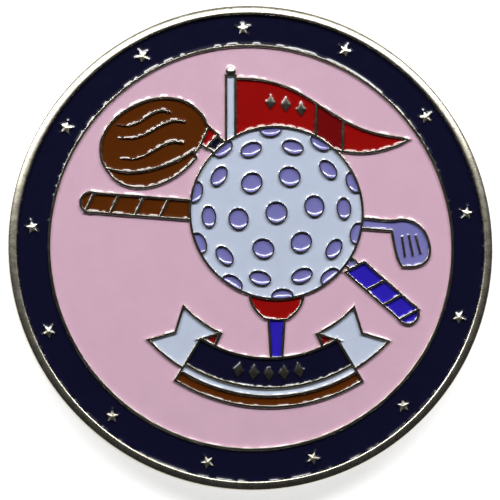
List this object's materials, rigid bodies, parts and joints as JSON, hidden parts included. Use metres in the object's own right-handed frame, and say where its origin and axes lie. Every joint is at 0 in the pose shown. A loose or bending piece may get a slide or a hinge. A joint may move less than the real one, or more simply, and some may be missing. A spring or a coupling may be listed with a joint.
{
  "type": "golf ball marker",
  "caption": "Round die-struck golf ball marker with a raised rim, a starred border ring and soft enamel fills in a golf emblem.",
  "frame": {"origin": "centre of the flat back face, on the surface the coin lies on", "axes": "+Z out of the enamelled face, +Y towards the top of the emblem, +X to its right"},
  "size_m": [0.0254, 0.0254, 0.002],
  "materials": {
    "nickel": "bright nickel plate over struck iron",
    "navy_enamel": "glossy very dark navy soft enamel",
    "pink_enamel": "glossy pale pink soft enamel",
    "white_enamel": "glossy bluish white soft enamel",
    "red_enamel": "glossy red soft enamel",
    "dark_red_enamel": "glossy dark red soft enamel",
    "lilac_enamel": "glossy lilac soft enamel",
    "blue_enamel": "glossy royal blue soft enamel",
    "brown_enamel": "glossy chestnut brown soft enamel"
  },
  "bodies": {
    "root": {"struck_body": "nickel", "border_ring_enamel": "navy_enamel", "pink_field_enamel": "pink_enamel", "flagstaff_enamel": "white_enamel", "pennant_hoist_enamel": "red_enamel", "pennant_fly_enamel": "red_enamel", "pennant_fold_enamel": "dark_red_enamel", "driver_shaft_enamel": "lilac_enamel", "driver_grip_butt_enamel": "blue_enamel", "driver_grip_wrap_1_enamel": "blue_enamel", "driver_grip_wrap_2_enamel": "blue_enamel", "driver_grip_wrap_3_enamel": "blue_enamel", "driver_whipping_enamel": "navy_enamel", "driver_collar_enamel": "red_enamel", "driver_head_enamel": "brown_enamel", "driver_sole_enamel": "brown_enamel", "iron_shaft_and_blade_enamel": "lilac_enamel", "iron_grip_butt_enamel": "brown_enamel", "iron_grip_wrap_1_enamel": "brown_enamel", "iron_grip_wrap_2_enamel": "brown_enamel", "iron_grip_wrap_3_enamel": "brown_enamel", "iron_grip_wrap_4_enamel": "brown_enamel", "tee_stem_enamel": "blue_enamel", "tee_cup_enamel": "red_enamel", "ribbon_tail_right_enamel": "white_enamel", "ribbon_fold_right_enamel": "dark_red_enamel", "ribbon_tail_left_enamel": "white_enamel", "ribbon_fold_left_enamel": "dark_red_enamel", "ribbon_band_enamel": "navy_enamel", "ribbon_stripe_enamel": "white_enamel", "ribbon_hem_enamel": "brown_enamel", "ball_enamel": "white_enamel", "ball_dimple_01_enamel": "lilac_enamel", "ball_dimple_02_enamel": "lilac_enamel", "ball_dimple_03_enamel": "lilac_enamel", "ball_dimple_04_enamel": "lilac_enamel", "ball_dimple_05_enamel": "lilac_enamel", "ball_dimple_06_enamel": "lilac_enamel", "ball_dimple_07_enamel": "lilac_enamel", "ball_dimple_08_enamel": "lilac_enamel", "ball_dimple_09_enamel": "lilac_enamel", "ball_dimple_10_enamel": "lilac_enamel", "ball_dimple_11_enamel": "lilac_enamel", "ball_dimple_12_enamel": "lilac_enamel", "ball_dimple_13_enamel": "lilac_enamel", "ball_dimple_14_enamel": "lilac_enamel", "ball_dimple_15_enamel": "lilac_enamel", "ball_dimple_16_enamel": "lilac_enamel", "ball_dimple_17_enamel": "lilac_enamel", "ball_dimple_18_enamel": "lilac_enamel", "ball_dimple_19_enamel": "lilac_enamel", "ball_dimple_20_enamel": "lilac_enamel", "ball_dimple_21_enamel": "lilac_enamel", "ball_dimple_22_enamel": "lilac_enamel", "ball_dimple_23_enamel": "lilac_enamel", "ball_dimple_24_enamel": "lilac_enamel", "ball_dimple_25_enamel": "lilac_enamel", "ball_dimple_26_enamel": "lilac_enamel", "ball_dimple_27_enamel": "lilac_enamel"}
  },
  "joints": []
}
